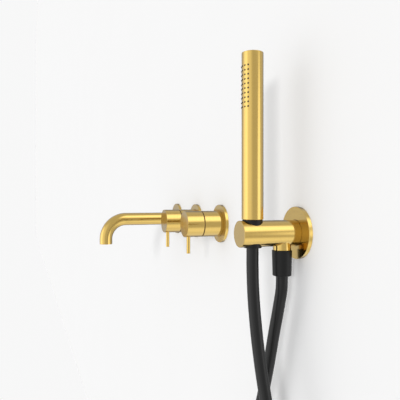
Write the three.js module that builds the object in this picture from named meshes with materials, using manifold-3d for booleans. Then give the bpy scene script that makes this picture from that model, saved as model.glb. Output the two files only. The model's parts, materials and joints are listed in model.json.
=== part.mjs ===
// A wall-mounted bath filler set: a spout, a two-way diverter, a mixer with a turning handle, and a
// hand-shower outlet that also holds a stick handset on its hose.
//
// Frame, in millimetres: +X runs along the wall, +Y goes into the wall, +Z is up. The finished wall
// is the plane y = 0, and the origin is on it, on the mixer's axis. Sizes called "out" are measured
// from the wall into the room, so a point that is out from the wall has y = -out.

import * as THREE from 'three';
import { mergeVertices } from 'three/addons/utils/BufferGeometryUtils.js';
import Module from 'manifold-3d';

// ---------------------------------------------------------------- driving dimensions

// Places along the wall.
const spoutX = -240;
const diverterX = -120;
const mixerX = 0;
const holderX = 240;

// Fits.
const gap = 0.3; // clearance of every seat, joint face and thread
const washerThickness = 1.7; // of a half-inch or aerator washer
const wallGap = 0.6; // sleeves and tubes stop this far short of the wall

// Wall flanges and their gaskets.
const flangeRadius = 31;
const flangeThickness = 5;
const flangeRimWidth = 4;
const gasketRecess = 2;

// Half-inch pipe thread, modelled as a plain cylinder at its mean radius.
const threadRadius = 9.9;
const pipeBore = 6.5;
const nippleDepth = 30; // how far a nipple reaches into the wall
const portLength = 14;

// Spout.
const spoutRadius = 12.5;
const spoutWall = 1.5;
const spoutReach = 152.5; // wall to the axis of the downward leg
const spoutBendRadius = 40;
const spoutTip = 10; // straight length below the bend
const spoutDrop = spoutBendRadius + spoutTip; // tube axis down to the tip
const spoutSeat = 24; // length of nipple inside the tube
const grubOut = 11;
const grubRadius = 2;
const grubGrooveDepth = 1.8;
const grubGrooveWidth = 5;
const aeratorWall = 1.2;
const aeratorInset = 0.6; // from the tip up to the insert
const aeratorHeight = spoutTip - washerThickness - 2 * gap; // its washer ends where the bend starts
const aeratorTopInset = 2; // from the housing's top down to the insert
const aeratorWasherWidth = 2.6;
const spoutSealPlaces = [16.5, 20.5];
const spoutSealDepth = 1;
const spoutSealWidth = 1.8;

// Valve trims, shared by the mixer and the diverter.
const trimRadius = 21;
const trimLength = 65; // wall to the handle's front face
const handleLength = 27.6;
const grooveWidth = 1.6; // the visible gap between the sleeve and the handle
const sleeveWall = 1.6;
const handleWall = 2.4;
const handleFront = 4;
const handleHub = 15; // depth of the solid front part of the handle
const slideRingInset = 0.7;
const slideRingWidth = 2.3;

// Lever pins.
const pinRadius = 3;
const pinOut = trimLength - 7.2;
const pinReach = 26.6; // from the handle's surface down to the pin's end
const pinDrop = trimRadius + pinReach;
const pinSeat = 4.7; // depth of the pin's shank in the handle
const pinThreadRadius = 2;

// Valves behind the trims.
const spindleRadius = 4;
const spindleBack = 10.3;
const spindleFront = trimLength - 8;
const adapterRadius = 8;
const adapterBack = trimLength - 21;
const sealRoom = 1.9; // between the valve's neck and the sleeve
const neckRadius = trimRadius - sleeveWall - sealRoom;
const neckWall = 3.7;
const neckFront = 20;
const cartridgeRadius = neckRadius - neckWall - gap;
const cartridgeBack = -14;
const cartridgeShoulder = 16;
const cartridgeNeckRadius = cartridgeRadius - 4.5;
const cartridgeFront = 28;
const cartridgeNutRadius = neckRadius - 1.5;
const cartridgeNutHead = 4.7;
const valveBodyRadius = neckRadius + 5.5;
const valveBodyFront = -12;
const valveBodyBack = -56;
const chamberRadius = 9;
const portOut = -38;
const portReach = 40; // valve axis to a port's end
const portCollarRadius = 13;
const sleeveRingOut = 10;

// Hand-shower outlet and holder.
const holderRadius = 15.3;
const holderLength = 77.5;
const holderThreadDepth = 9.5;
const channelRadius = 5;
const channelLength = 30;
const outletOut = 22.4;
const outletCollarRadius = threadRadius + 0.7;
const outletCollarTop = 5.5 - holderRadius;
const outletCollarBottom = -4.5 - holderRadius;
const seatOut = holderLength - 16.8; // wall to the handset's axis
const checkValveLength = 16;

// Hose fittings, and the holder's conical seat for the upper one.
const hoseThreadLength = 11;
const hoseNutWall = 1.55;
const hoseNutTaper = 1.35;
const hoseNutRadiusTop = threadRadius + gap + hoseNutWall;
const hoseNutLength = 29.9;
const hoseNutRadiusBottom = hoseNutRadiusTop - 0.75;
const seatRadiusTop = hoseNutRadiusTop + gap;
const seatRadiusBottom = seatRadiusTop - hoseNutTaper;
const ferruleFlange = 2;
const ferruleRadius = 6.9;
const ferruleBore = 4.5;
const ferruleRoom = 0.4; // between a ferrule and its nut

// Handset.
const handsetRadius = 12.5;
const handsetWall = 2;
const handsetBottom = holderRadius + 1.3;
const handsetNutTop = handsetBottom - 0.4;
const handsetNutStandOut = 0.6; // below the holder
const handsetLength = 191.1;
const handsetTop = handsetBottom + handsetLength;
const connectorTop = handsetBottom + 18.4;
const nozzleStripThickness = 1.7;
const waterTubeWall = 1.5;
const waterTubeRadius = handsetRadius - handsetWall - nozzleStripThickness - 2 * gap;
const endCapHeight = 7.8;
const waterTubeTop = handsetTop - endCapHeight - 3 * gap;
const nozzleRows = 10;
const nozzleColumns = 5;
const nozzlePitch = 5.2;
const nozzleAngle = 20.3; // degrees between columns
const nozzleInset = 16.1; // from the handset's top down to the highest row
const nozzleLowest = handsetTop - nozzleInset - (nozzleRows - 1) * nozzlePitch;
const nozzleRadius = 0.8;
const nozzleStandOut = 0.7;
const nozzleStripMargin = 4;

// Hose.
const hoseRadius = 7;

// Roundness.
const wideSides = 20;
const sides = 16;
const smallSides = 12;
const hoseSides = 8;
const nozzleSides = 4;
const aeratorHoleSides = 6;
const spoutBendSteps = 10;
const hoseSteps = 40;

// The hose's route from the handset to the outlet, relative to the holder's axis at the wall.
const hoseRoute = [
  [0, -60.7, -16.5],
  [0, -60.7, -38],
  [1, -60.4, -64],
  [4.5, -59.6, -96],
  [10, -58, -132],
  [17.5, -55.5, -170],
  [30, -53, -212],
  [48, -50, -260],
  [73, -48, -312],
  [100, -46, -364],
  [119, -45, -412],
  [120, -44, -459],
  [99, -43, -501],
  [60, -42, -530],
  [12, -41, -541],
  [-37, -40, -534],
  [-80, -39, -508],
  [-107, -38, -468],
  [-112, -37, -421],
  [-100, -36, -370],
  [-79, -34, -314],
  [-56, -32, -260],
  [-37, -29.5, -208],
  [-25, -26.5, -162],
  [-15.5, -24.5, -122],
  [-6.5, -23, -88],
  [-1, -22.4, -66],
  [0, -22.4, -50.7],
];

// ---------------------------------------------------------------- materials

const gold = new THREE.MeshStandardMaterial({ color: 0xc9a456, roughness: 0.32, metalness: 1 });
const brass = new THREE.MeshStandardMaterial({ color: 0xb8944c, roughness: 0.45, metalness: 1 });
const steel = new THREE.MeshStandardMaterial({ color: 0x9a9a98, roughness: 0.4, metalness: 1 });
const blackPlastic = new THREE.MeshStandardMaterial({ color: 0x2a2a2a, roughness: 0.6, metalness: 0 });
const whitePlastic = new THREE.MeshStandardMaterial({ color: 0xe6e4de, roughness: 0.5, metalness: 0 });
const rubber = new THREE.MeshStandardMaterial({ color: 0x1c1c1c, roughness: 0.8, metalness: 0 });

// ---------------------------------------------------------------- geometry helpers

// A solid of revolution about the wall's normal. The profile is a list of [radius, out] pairs.
function turnedOut(profile, count = sides) {
  return turned(profile.map(([radius, out]) => [radius, -out]), count);
}

// A solid of revolution about the vertical. The profile is a list of [radius, height] pairs.
function turnedUp(profile, count = sides) {
  return turned(profile, count).rotateX(Math.PI / 2);
}

// Revolves an outline about Y. An outline that doesn't touch the axis is closed on itself.
function turned(profile, count) {
  const outline = profile.map(([radius, y]) => new THREE.Vector2(radius, y));
  if (THREE.ShapeUtils.area(outline) < 0) outline.reverse();
  const onAxis = outline.findIndex((point) => point.x === 0);
  if (onAxis < 0) return new THREE.LatheGeometry([...outline, outline[0].clone()], count);
  const next = outline[(onAxis + 1) % outline.length];
  const start = next.x === 0 ? onAxis + 1 : onAxis;
  const fromAxis = outline.map((_, i) => outline[(start + i) % outline.length]);
  return new THREE.LatheGeometry(fromAxis, count);
}

// The outline of a plain tube between two places along its axis.
function ring(inner, outer, from, to) {
  return [[inner, from], [outer, from], [outer, to], [inner, to]];
}

// The outline of a plain rod between two places along its axis.
function rod(radius, from, to) {
  return ring(0, radius, from, to);
}

// The outline of a round-section seal.
function sealOutline(inner, outer, middle) {
  const radius = (outer - inner) / 2;
  const corners = 6;
  return Array.from({ length: corners }, (_, i) => {
    const angle = (i + 0.5) * 2 * Math.PI / corners;
    return [inner + radius + radius * Math.cos(angle), middle + radius * Math.sin(angle)];
  });
}

const wasm = await Module();
wasm.setup();

function toSolid(geometry) {
  const bare = geometry.clone();
  bare.deleteAttribute('normal');
  bare.deleteAttribute('uv');
  const merged = mergeVertices(bare, 1e-4);
  const corners = merged.index.array;
  const kept = [];
  for (let i = 0; i < corners.length; i += 3) {
    const [a, b, c] = corners.slice(i, i + 3);
    if (a !== b && b !== c && c !== a) kept.push(a, b, c);
  }
  return new wasm.Manifold(new wasm.Mesh({
    numProp: 3,
    vertProperties: new Float32Array(merged.attributes.position.array),
    triVerts: new Uint32Array(kept),
  }));
}

function toGeometry(solid) {
  const mesh = solid.getMesh();
  const geometry = new THREE.BufferGeometry();
  geometry.setAttribute('position', new THREE.BufferAttribute(mesh.vertProperties, 3));
  geometry.setIndex(new THREE.BufferAttribute(mesh.triVerts, 1));
  return geometry;
}

// One geometry with others joined to it and others cut from it.
function carved(base, { joined = [], cut = [] }) {
  let solid = toSolid(base);
  for (const geometry of joined) solid = solid.add(toSolid(geometry));
  for (const geometry of cut) solid = solid.subtract(toSolid(geometry));
  return toGeometry(solid);
}

function piece(name, geometry, material) {
  const mesh = new THREE.Mesh(geometry, material);
  mesh.name = name;
  return mesh;
}

function groupAt(x, pieces) {
  const group = new THREE.Group();
  group.position.x = x;
  group.add(...pieces);
  return group;
}

// ---------------------------------------------------------------- flanges

// A flange slid over a tube, and the foam gasket in the recess at its back.
function flangePieces(prefix, tubeRadius) {
  const bore = tubeRadius + gap;
  const rimInner = flangeRadius - flangeRimWidth;
  const flange = turnedOut([
    [bore, gasketRecess],
    [rimInner, gasketRecess],
    [rimInner, 0],
    [flangeRadius, 0],
    [flangeRadius, flangeThickness],
    [bore, flangeThickness],
  ], wideSides);
  const gasket = turnedOut(ring(bore + gap, rimInner - gap, 0, gasketRecess - gap), wideSides);
  return [
    piece(`${prefix}_flange`, flange, gold),
    piece(`${prefix}_flange_gasket`, gasket, rubber),
  ];
}

// ---------------------------------------------------------------- spout

// The tube's centre line: straight out of the wall, round the bend and down. Whatever the reach, one
// step is the straight length, the next ones are the bend, and the last is the tip.
class SpoutLine extends THREE.Curve {
  getPoint(t, target = new THREE.Vector3()) {
    const station = t * (spoutBendSteps + 2);
    const short = Math.max(1 - station, 0) * (spoutReach - spoutBendRadius - wallGap);
    const turn = THREE.MathUtils.clamp((station - 1) / spoutBendSteps, 0, 1) * Math.PI / 2;
    const past = Math.max(station - 1 - spoutBendSteps, 0) * spoutTip;
    const out = spoutReach - spoutBendRadius * (1 - Math.sin(turn)) - short;
    const down = spoutBendRadius * (1 - Math.cos(turn)) + past;
    return target.set(0, -out, -down);
  }

  // Steps are taken in stations, as above, and not in equal lengths.
  getUtoTmapping(u) {
    return u;
  }
}

function spoutTube() {
  const section = new THREE.Shape().absarc(0, 0, spoutRadius, 0, 2 * Math.PI);
  section.holes.push(new THREE.Path().absarc(0, 0, spoutRadius - spoutWall, 0, 2 * Math.PI, true));
  const tube = new THREE.ExtrudeGeometry(section, {
    extrudePath: new SpoutLine(),
    steps: spoutBendSteps + 2,
    curveSegments: wideSides / 2,
  });
  const grubHole = turnedUp(rod(grubRadius + gap, -spoutRadius - 1, 0), smallSides);
  return carved(tube, { cut: [grubHole.translate(0, -grubOut, 0)] });
}

function spoutNipple() {
  const seatRadius = spoutRadius - spoutWall - 2 * gap;
  const outline = [
    [pipeBore, -nippleDepth],
    [threadRadius, -nippleDepth],
    [threadRadius, 0],
    [seatRadius, 0],
    ...groove(seatRadius, grubGrooveDepth, grubOut, grubGrooveWidth),
    ...spoutSealPlaces.flatMap((out) => groove(seatRadius, spoutSealDepth, out, spoutSealWidth)),
    [seatRadius, spoutSeat],
    [pipeBore, spoutSeat],
  ];
  return turnedOut(outline);
}

// The four corners of a groove round a rod.
function groove(radius, depth, middle, width) {
  const from = middle - width / 2;
  const to = middle + width / 2;
  return [[radius, from], [radius - depth, from], [radius - depth, to], [radius, to]];
}

function aeratorInsert(radius, bottom, top) {
  const disc = turnedUp(rod(radius, bottom, top));
  const ringRadius = radius * 0.58;
  const holes = Array.from({ length: 7 }, (_, i) => {
    const angle = i * Math.PI / 3;
    const reach = i === 6 ? 0 : ringRadius;
    const hole = turnedUp(rod(radius * 0.18, bottom - 1, top + 1), aeratorHoleSides);
    return hole.translate(reach * Math.cos(angle), reach * Math.sin(angle), 0);
  });
  return carved(disc, { cut: holes });
}

function spout() {
  const inner = spoutRadius - spoutWall;
  const sealInner = inner - gap - spoutSealDepth;
  const grubEnd = inner - gap - grubGrooveDepth;
  const grubScrew = turnedUp(rod(grubRadius, gap - spoutRadius, -grubEnd), smallSides);
  const tip = -spoutDrop;
  const housing = inner - gap - 0.1;
  const bottom = tip + aeratorInset;
  const top = tip + aeratorHeight;
  const washerBottom = top + gap;
  const washer = ring(housing - aeratorWasherWidth, housing, washerBottom, washerBottom + washerThickness);
  const atTip = (geometry) => geometry.translate(0, -spoutReach, 0);
  const insert = aeratorInsert(housing - aeratorWall - gap, bottom, top - aeratorTopInset);
  return groupAt(spoutX, [
    ...flangePieces('spout', spoutRadius),
    piece('spout_tube', spoutTube(), gold),
    piece('spout_nipple', spoutNipple(), brass),
    ...spoutSealPlaces.map((out, i) => piece(
      `spout_o_ring_${i + 1}`, turnedOut(sealOutline(sealInner, inner - gap, out)), rubber)),
    piece('spout_grub_screw', grubScrew.translate(0, -grubOut, 0), steel),
    piece('aerator_housing', atTip(turnedUp(ring(housing - aeratorWall, housing, bottom, top))), gold),
    piece('aerator_insert', atTip(insert), blackPlastic),
    piece('aerator_washer', atTip(turnedUp(washer)), rubber),
  ]);
}

// ---------------------------------------------------------------- valves and their trims

// A threaded pipe port with its collar, along +X from the valve's axis.
function port() {
  const collarEnd = portReach - portLength;
  const outline = [
    [0, 0],
    [portCollarRadius, 0],
    [portCollarRadius, collarEnd],
    [threadRadius, collarEnd],
    [threadRadius, portReach],
    [0, portReach],
  ];
  return turnedUp(outline, smallSides).rotateY(Math.PI / 2);
}

function portBore() {
  return turnedUp(rod(pipeBore, 0, portReach + 1), smallSides).rotateY(Math.PI / 2);
}

// The body behind the wall: a chamber with ports to the left, to the right and up, and a neck that
// carries the cartridge out through the wall.
function valveBody() {
  const shell = turnedOut([
    [0, valveBodyBack],
    [valveBodyRadius, valveBodyBack],
    [valveBodyRadius, valveBodyFront],
    [neckRadius, valveBodyFront],
    [neckRadius, neckFront],
    [0, neckFront],
  ], wideSides);
  const cartridgeBore = turnedOut(rod(cartridgeRadius + gap, cartridgeBack - gap, neckFront + 1), wideSides);
  const chamber = turnedOut(rod(chamberRadius, portOut - pipeBore, 0));
  const turns = [0, Math.PI / 2, Math.PI];
  const placed = (geometry, turn) => geometry.rotateY(-turn).translate(0, -portOut, 0);
  return carved(shell, {
    joined: turns.map((turn) => placed(port(), turn)),
    cut: [cartridgeBore, chamber, ...turns.map((turn) => placed(portBore(), turn))],
  });
}

function cartridge() {
  const bore = spindleRadius + gap;
  return turnedOut([
    [0, cartridgeBack],
    [cartridgeRadius, cartridgeBack],
    [cartridgeRadius, cartridgeShoulder],
    [cartridgeNeckRadius, cartridgeShoulder],
    [cartridgeNeckRadius, cartridgeFront],
    [bore, cartridgeFront],
    [bore, spindleBack - gap],
    [0, spindleBack - gap],
  ]);
}

function cartridgeNut() {
  const inner = cartridgeNeckRadius + gap;
  const seat = neckFront + gap;
  return turnedOut([
    [inner, cartridgeShoulder + gap],
    [cartridgeRadius, cartridgeShoulder + gap],
    [cartridgeRadius, seat],
    [cartridgeNutRadius, seat],
    [cartridgeNutRadius, seat + cartridgeNutHead],
    [inner, seat + cartridgeNutHead],
  ]);
}

// The turning handle: a cup with a thick front, bored for the adapter and cross-drilled for the pin.
function handle() {
  const back = trimLength - handleLength;
  const hubBack = trimLength - handleHub;
  const bore = adapterRadius + gap;
  const cup = turnedOut([
    [0, trimLength],
    [trimRadius, trimLength],
    [trimRadius, back],
    [trimRadius - handleWall, back],
    [trimRadius - handleWall, hubBack],
    [bore, hubBack],
    [bore, trimLength - handleFront],
    [0, trimLength - handleFront],
  ], wideSides);
  const pinHole = turnedUp([
    [0, -trimRadius - 1],
    [pinRadius + gap, -trimRadius - 1],
    [pinRadius + gap, -trimRadius + pinSeat + gap],
    [pinThreadRadius + gap, -trimRadius + pinSeat + gap],
    [pinThreadRadius + gap, -adapterRadius / 2],
    [0, -adapterRadius / 2],
  ], smallSides);
  return carved(cup, { cut: [pinHole.translate(0, -pinOut, 0)] });
}

function leverPin() {
  const shoulder = -trimRadius + pinSeat;
  return turnedUp([
    [0, -pinDrop],
    [pinRadius, -pinDrop],
    [pinRadius, shoulder],
    [pinThreadRadius, shoulder],
    [pinThreadRadius, -adapterRadius - gap],
    [0, -adapterRadius - gap],
  ], smallSides).translate(0, -pinOut, 0);
}

function valve(prefix, x) {
  const handleBack = trimLength - handleLength;
  const sleeveFront = handleBack - grooveWidth;
  const ringOuter = trimRadius - slideRingInset;
  const slideRing = ring(ringOuter - slideRingWidth, ringOuter, sleeveFront + gap, handleBack - gap);
  const adapterFront = trimLength - handleFront - gap;
  const sleeveInner = trimRadius - sleeveWall;
  return groupAt(x, [
    ...flangePieces(prefix, trimRadius),
    piece(`${prefix}_sleeve`,
      turnedOut(ring(sleeveInner, trimRadius, wallGap, sleeveFront), wideSides), gold),
    piece(`${prefix}_sleeve_o_ring`,
      turnedOut(sealOutline(neckRadius + gap, sleeveInner - gap, sleeveRingOut), wideSides), rubber),
    piece(`${prefix}_slide_ring`, turnedOut(slideRing, wideSides), blackPlastic),
    piece(`${prefix}_valve_body`, valveBody(), brass),
    piece(`${prefix}_cartridge`, cartridge(), whitePlastic),
    piece(`${prefix}_cartridge_nut`, cartridgeNut(), brass),
    piece(`${prefix}_spindle`,
      turnedOut(rod(spindleRadius, spindleBack, spindleFront), smallSides), brass),
    piece(`${prefix}_adapter`,
      turnedOut(ring(spindleRadius + gap, adapterRadius, adapterBack, adapterFront)), whitePlastic),
    piece(`${prefix}_handle`, handle(), gold),
    piece(`${prefix}_lever_pin`, leverPin(), gold),
  ]);
}

// ---------------------------------------------------------------- hand-shower outlet and holder

function holderBody() {
  const body = turnedOut(rod(holderRadius, wallGap, holderLength), wideSides);
  const overshoot = holderRadius + 1;
  const taper = (seatRadiusTop - seatRadiusBottom) / (2 * holderRadius);
  const middle = (seatRadiusTop + seatRadiusBottom) / 2;
  const seat = turnedUp([
    [0, -overshoot],
    [middle - taper * overshoot, -overshoot],
    [middle + taper * overshoot, overshoot],
    [0, overshoot],
  ], wideSides);
  const inlet = turnedOut(rod(threadRadius + gap, 0, holderThreadDepth));
  const channel = turnedOut(rod(channelRadius, 0, channelLength));
  const pocket = turnedUp(rod(outletCollarRadius + gap, -overshoot, outletCollarTop + gap));
  const drop = turnedUp(rod(channelRadius, -overshoot, 0));
  return carved(body, {
    cut: [
      inlet,
      channel,
      seat.translate(0, -seatOut, 0),
      pocket.translate(0, -outletOut, 0),
      drop.translate(0, -outletOut, 0),
    ],
  });
}

function outletNipple() {
  const end = outletCollarBottom - hoseThreadLength;
  return turnedUp([
    [channelRadius, end],
    [threadRadius, end],
    [threadRadius, outletCollarBottom],
    [outletCollarRadius, outletCollarBottom],
    [outletCollarRadius, outletCollarTop],
    [channelRadius, outletCollarTop],
  ]);
}

// The fittings at one end of the hose. Top is the nut's upper face, and the thread in the nut meets
// a threaded end that reaches hoseThreadLength below the face it screws up to.
function hoseEnd(prefix, top, length, radiusBottom, threadEnd) {
  const washerTop = threadEnd - gap;
  const flangeTop = washerTop - washerThickness - gap;
  const shoulder = flangeTop - ferruleFlange - gap;
  const bottom = top - length;
  const bore = ferruleRadius + ferruleRoom;
  const seatRadius = threadRadius - 0.1;
  const nut = turnedUp([
    [threadRadius + gap, top],
    [hoseNutRadiusTop, top],
    [radiusBottom, bottom],
    [bore, bottom],
    [bore, shoulder],
    [threadRadius + gap, shoulder],
  ], wideSides);
  const ferrule = turnedUp([
    [ferruleBore, bottom + gap],
    [ferruleRadius, bottom + gap],
    [ferruleRadius, shoulder + gap],
    [seatRadius, shoulder + gap],
    [seatRadius, flangeTop],
    [ferruleBore, flangeTop],
  ]);
  const washer = turnedUp(ring(ferruleBore + 0.7, seatRadius, flangeTop + gap, washerTop));
  return [
    piece(`${prefix}_hose_nut`, nut, blackPlastic),
    piece(`${prefix}_hose_ferrule`, ferrule, brass),
    piece(`${prefix}_hose_washer`, washer, rubber),
  ];
}

function placedOut(out, pieces) {
  for (const mesh of pieces) mesh.position.y = -out;
  return pieces;
}

function checkValve() {
  const middle = -pipeBore;
  const outer = pipeBore - gap;
  return turnedOut(ring(outer / 2, outer, middle - checkValveLength / 2, middle + checkValveLength / 2),
    smallSides);
}

function holder() {
  const nippleFront = holderThreadDepth - gap;
  const nutTop = outletCollarBottom - gap;
  const threadEnd = outletCollarBottom - hoseThreadLength;
  return groupAt(holderX, [
    ...flangePieces('holder', holderRadius),
    piece('holder_body', holderBody(), gold),
    piece('holder_nipple', turnedOut(ring(pipeBore, threadRadius, -nippleDepth, nippleFront)), brass),
    piece('check_valve', checkValve(), blackPlastic),
    ...placedOut(outletOut, [
      piece('outlet_nipple', outletNipple(), gold),
      ...hoseEnd('outlet', nutTop, hoseNutLength, hoseNutRadiusBottom, threadEnd),
    ]),
  ]);
}

// ---------------------------------------------------------------- handset

// The axis of one nozzle: a rod along +X from inside the tube to a radius, turned to its column.
function nozzleRod(radius, from, to, row, column) {
  const angle = -90 + (column - (nozzleColumns - 1) / 2) * nozzleAngle;
  const height = nozzleLowest + row * nozzlePitch;
  return turnedUp(rod(radius, from, to), nozzleSides)
    .rotateY(Math.PI / 2)
    .rotateZ(THREE.MathUtils.degToRad(angle))
    .translate(0, 0, height);
}

function nozzleRods(radius, from, to) {
  const rods = [];
  for (let row = 0; row < nozzleRows; row += 1) {
    for (let column = 0; column < nozzleColumns; column += 1) {
      rods.push(nozzleRod(radius, from, to, row, column));
    }
  }
  return rods;
}

function handsetTube() {
  const inner = handsetRadius - handsetWall;
  const tube = turnedUp(ring(inner, handsetRadius, handsetBottom, handsetTop), wideSides);
  return carved(tube, { cut: nozzleRods(nozzleRadius + gap, inner - 2, handsetRadius + 1) });
}

// The silicone strip that lies behind the tube's wall, with one spray nozzle through each hole.
function nozzleStrip() {
  const outer = handsetRadius - handsetWall - gap;
  const inner = waterTubeRadius + gap;
  const halfAngle = THREE.MathUtils.degToRad((nozzleColumns / 2 + 0.2) * nozzleAngle);
  const start = -Math.PI / 2 - halfAngle;
  const end = -Math.PI / 2 + halfAngle;
  const section = new THREE.Shape();
  section.absarc(0, 0, outer, start, end);
  section.absarc(0, 0, inner, end, start, true);
  const height = (nozzleRows - 1) * nozzlePitch + 2 * nozzleStripMargin;
  const strip = new THREE.ExtrudeGeometry(section, { depth: height, bevelEnabled: false, curveSegments: 6 })
    .translate(0, 0, nozzleLowest - nozzleStripMargin);
  const tips = handsetRadius + nozzleStandOut;
  return carved(strip, { joined: nozzleRods(nozzleRadius, (inner + outer) / 2, tips) });
}

// The inner water tube, open at the bottom and with a window behind the nozzles.
function waterTube() {
  const inner = waterTubeRadius - waterTubeWall;
  const tube = turnedUp(ring(inner, waterTubeRadius, connectorTop + gap, waterTubeTop));
  const height = (nozzleRows - 1) * nozzlePitch;
  const window = new THREE.BoxGeometry(inner, waterTubeRadius * 2, height)
    .translate(0, -waterTubeRadius, nozzleLowest + height / 2);
  return carved(tube, { cut: [window] });
}

function connector() {
  const body = handsetRadius - handsetWall - gap;
  const threadEnd = handsetNutTop - hoseThreadLength;
  const threadTop = handsetBottom - gap;
  return turnedUp([
    [channelRadius, threadEnd],
    [threadRadius, threadEnd],
    [threadRadius, threadTop],
    [body, threadTop],
    [body, connectorTop],
    [channelRadius, connectorTop],
  ]);
}

function handset() {
  const capRadius = handsetRadius - handsetWall - gap;
  const capTop = handsetTop - gap;
  const nutLength = handsetNutTop + holderRadius + handsetNutStandOut;
  const pieces = placedOut(seatOut, [
    piece('handset_tube', handsetTube(), gold),
    piece('handset_end_cap', turnedUp(rod(capRadius, capTop - endCapHeight, capTop)), gold),
    piece('nozzle_strip', nozzleStrip(), rubber),
    piece('handset_water_tube', waterTube(), whitePlastic),
    piece('handset_connector', connector(), brass),
    ...hoseEnd('handset', handsetNutTop, nutLength, seatRadiusBottom - gap,
      handsetNutTop - hoseThreadLength),
  ]);
  return groupAt(holderX, pieces);
}

// ---------------------------------------------------------------- hose

function hose() {
  const section = new THREE.Shape().absarc(0, 0, hoseRadius, 0, 2 * Math.PI);
  const points = hoseRoute.map(([x, y, z]) => new THREE.Vector3(x, y, z));
  const geometry = new THREE.ExtrudeGeometry(section, {
    extrudePath: new THREE.CatmullRomCurve3(points),
    steps: hoseSteps,
    curveSegments: hoseSides / 2,
  });
  return groupAt(holderX, [piece('hose', geometry, blackPlastic)]);
}

// ---------------------------------------------------------------- the whole set

const bathFaucet = new THREE.Group();
bathFaucet.add(
  spout(),
  valve('diverter', diverterX),
  valve('mixer', mixerX),
  holder(),
  handset(),
  hose(),
);

export default bathFaucet;
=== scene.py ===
# %% [markdown]
# # A wall-mounted bath filler set in brushed gold
# Four fittings come out of one wall: a bent spout, a diverter, a mixer, and an outlet that also
# holds a stick hand shower on its black hose. The fixed frame below holds every piece at its real
# size and place, but in coarse facets. This notebook makes the fine surface of each piece round
# that frame, gives it a finish, and lights the set.
# Units are metres. +X runs along the wall, +Y goes into the wall and +Z is up.

# %% Load the fixed frame
import json
import math
import bmesh
import bpy
import numpy as np
from mathutils import Matrix, Vector


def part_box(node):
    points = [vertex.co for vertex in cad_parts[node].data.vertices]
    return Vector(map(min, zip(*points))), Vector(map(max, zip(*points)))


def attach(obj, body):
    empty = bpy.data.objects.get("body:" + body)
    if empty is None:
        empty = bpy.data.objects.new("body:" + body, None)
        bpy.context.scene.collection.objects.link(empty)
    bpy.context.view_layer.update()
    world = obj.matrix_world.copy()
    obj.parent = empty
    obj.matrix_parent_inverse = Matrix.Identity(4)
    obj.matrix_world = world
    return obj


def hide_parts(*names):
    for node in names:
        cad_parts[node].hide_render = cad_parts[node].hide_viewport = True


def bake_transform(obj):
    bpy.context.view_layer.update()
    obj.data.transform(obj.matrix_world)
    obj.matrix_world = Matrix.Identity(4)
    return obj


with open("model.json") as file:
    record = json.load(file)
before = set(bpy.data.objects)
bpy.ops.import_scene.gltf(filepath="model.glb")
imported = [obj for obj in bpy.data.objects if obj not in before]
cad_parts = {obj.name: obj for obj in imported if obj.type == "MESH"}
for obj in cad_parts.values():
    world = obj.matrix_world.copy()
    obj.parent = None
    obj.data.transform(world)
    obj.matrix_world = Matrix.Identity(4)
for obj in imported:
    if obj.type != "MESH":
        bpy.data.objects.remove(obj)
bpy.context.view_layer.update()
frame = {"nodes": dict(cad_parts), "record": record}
MM = 0.001

# %% [markdown]
# ## The camera
# The set is seen from the hand shower's end, almost along the wall, from just above the tops of
# the flanges. A camera could be aimed at a target, but a level camera on a known bearing keeps
# upright lines upright, so this one gets a place and a bearing.

# %% Camera
camera_bearing = math.radians(70.05)
camera_data = bpy.data.cameras.new("camera")
camera_data.sensor_width = 36
camera_data.lens = 43.5
camera = bpy.data.objects.new("camera", camera_data)
camera.location = (0.7414, -0.3069, 0.0389)
looking = Vector((-math.sin(camera_bearing), math.cos(camera_bearing), 0))
camera.rotation_euler = looking.to_track_quat("-Z", "Y").to_euler()
bpy.context.scene.collection.objects.link(camera)
bpy.context.scene.camera = camera
print("camera", round(camera_data.lens, 1), "mm, looking along", [round(c, 2) for c in looking])

# %% [markdown]
# ## Shader maths
# A finish is a small calculation made for each point of a surface. Written as bare nodes it takes
# a page of links, so this class wraps one output of a node, and Python's own operators on it add
# the Math nodes. Colours go through Mix, because a Math node would turn them grey.

# %% A value and its graph
class Value:
    """One output of a node. Arithmetic on it adds Math nodes to the same graph."""

    def __init__(self, graph, socket):
        self.graph = graph
        self.socket = socket

    def math(self, operation, *others):
        """This value and others through one Math node."""
        return self.graph.math(operation, self, *others)

    def __add__(self, other):
        return self.math("ADD", other)

    def __sub__(self, other):
        return self.math("SUBTRACT", other)

    def __rsub__(self, other):
        return self.graph.math("SUBTRACT", other, self)

    def __mul__(self, other):
        return self.math("MULTIPLY", other)

    def __truediv__(self, other):
        return self.math("DIVIDE", other)

    def __pow__(self, other):
        return self.math("POWER", other)

    __radd__ = __add__
    __rmul__ = __mul__


class Graph:
    """The nodes of one material, or of the world."""

    def __init__(self, tree):
        self.tree = tree
        tree.nodes.clear()

    def node(self, kind, settings=None, inputs=None, output=0):
        """Adds a node: its settings first, then the values or links of its sockets."""
        made = self.tree.nodes.new("ShaderNode" + kind)
        for name, setting in (settings or {}).items():
            setattr(made, name, setting)
        for name, value in (inputs or {}).items():
            if isinstance(value, Value):
                self.tree.links.new(value.socket, made.inputs[name])
            else:
                made.inputs[name].default_value = value
        return Value(self, made.outputs[output]) if made.outputs else made

    def math(self, operation, *values):
        return self.node("Math", {"operation": operation}, dict(enumerate(values)))

    def smooth(self, value, low, high):
        """0 below low, 1 above high, and a smooth rise between them."""
        limits = {"Value": value, "From Min": low, "From Max": high}
        return self.node("MapRange", {"interpolation_type": "SMOOTHSTEP"}, limits)

    def mix(self, factor, a, b):
        """The colour a where factor is 0 and b where it is 1."""
        colours = {0: factor, 6: a, 7: b}
        return self.node("Mix", {"data_type": "RGBA"}, colours, output=2)


print("shader helpers are ready")

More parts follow.
